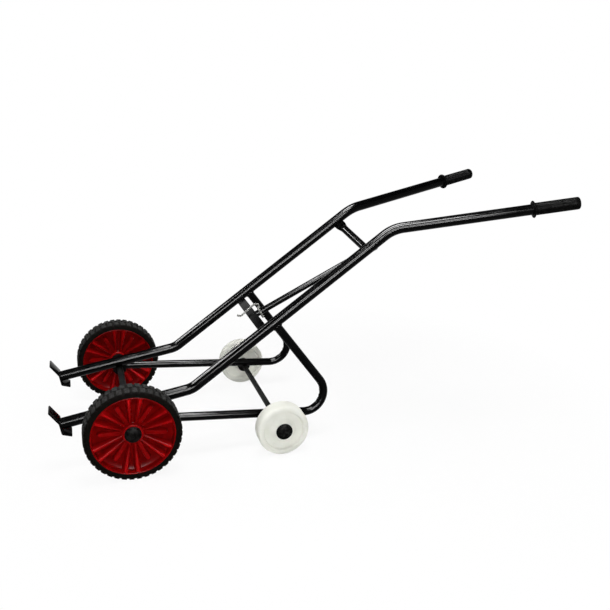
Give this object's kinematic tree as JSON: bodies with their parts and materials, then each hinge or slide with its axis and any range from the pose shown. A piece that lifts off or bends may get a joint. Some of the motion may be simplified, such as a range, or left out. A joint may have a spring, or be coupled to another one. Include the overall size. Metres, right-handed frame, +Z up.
{
  "type": "garden hand trolley",
  "caption": "Two-wheeled steel-tube garden trolley with rear rollers, long splayed handles and flat front hooks that catch a tub or sack and carry it low.",
  "frame": {"origin": "on the floor, at the middle of the trolley's length and width", "axes": "+X from the front hooks back to the handles, +Y to the pusher's right, +Z up"},
  "size_m": [1.5338, 0.6708, 0.7097],
  "materials": {
    "black_paint": "gloss black paint on steel tube",
    "black_plastic": "moulded, satin",
    "red_plastic": "moulded, semi-gloss",
    "tyre": "solid rubber with block tread",
    "white_nylon": "satin",
    "grip_rubber": "ribbed, matt",
    "zinc": "bright zinc plate"
  },
  "bodies": {
    "frame": {"main_tube_left": "black_paint", "main_tube_right": "black_paint", "hook_left": "black_paint", "hook_right": "black_paint", "loop_left": "black_paint", "loop_right": "black_paint", "axle_plate_left": "black_paint", "axle_plate_right": "black_paint", "main_axle": "black_paint", "axle_collar_left": "black_plastic", "axle_collar_right": "black_plastic", "hub_cap_left": "black_plastic", "hub_cap_right": "black_plastic", "roller_axle": "black_paint", "roller_collar_left": "black_plastic", "roller_collar_right": "black_plastic", "roller_cap_left": "black_plastic", "roller_cap_right": "black_plastic", "cross_strap": "black_paint", "cross_tube": "black_paint", "middle_rod": "black_paint", "catch_hook": "zinc", "grip_left": "grip_rubber", "grip_right": "grip_rubber"},
    "wheel_left": {"wheel_rim_left": "red_plastic", "wheel_tyre_left": "tyre"},
    "wheel_right": {"wheel_rim_right": "red_plastic", "wheel_tyre_right": "tyre"},
    "roller_left": {"roller_left": "white_nylon"},
    "roller_right": {"roller_right": "white_nylon"}
  },
  "joints": [
    {"name": "wheel_spin_left", "type": "hinge", "parent": "frame", "child": "wheel_left", "pos_m": [-0.55363, -0.272, 0.1315], "axis": [0, 1, 0], "continuous": true},
    {"name": "wheel_spin_right", "type": "hinge", "parent": "frame", "child": "wheel_right", "pos_m": [-0.55363, 0.272, 0.1315], "axis": [0, 1, 0], "continuous": true},
    {"name": "roller_spin_left", "type": "hinge", "parent": "frame", "child": "roller_left", "pos_m": [-0.13317, -0.265, 0.075], "axis": [0, 1, 0], "continuous": true},
    {"name": "roller_spin_right", "type": "hinge", "parent": "frame", "child": "roller_right", "pos_m": [-0.13317, 0.265, 0.075], "axis": [0, 1, 0], "continuous": true}
  ]
}
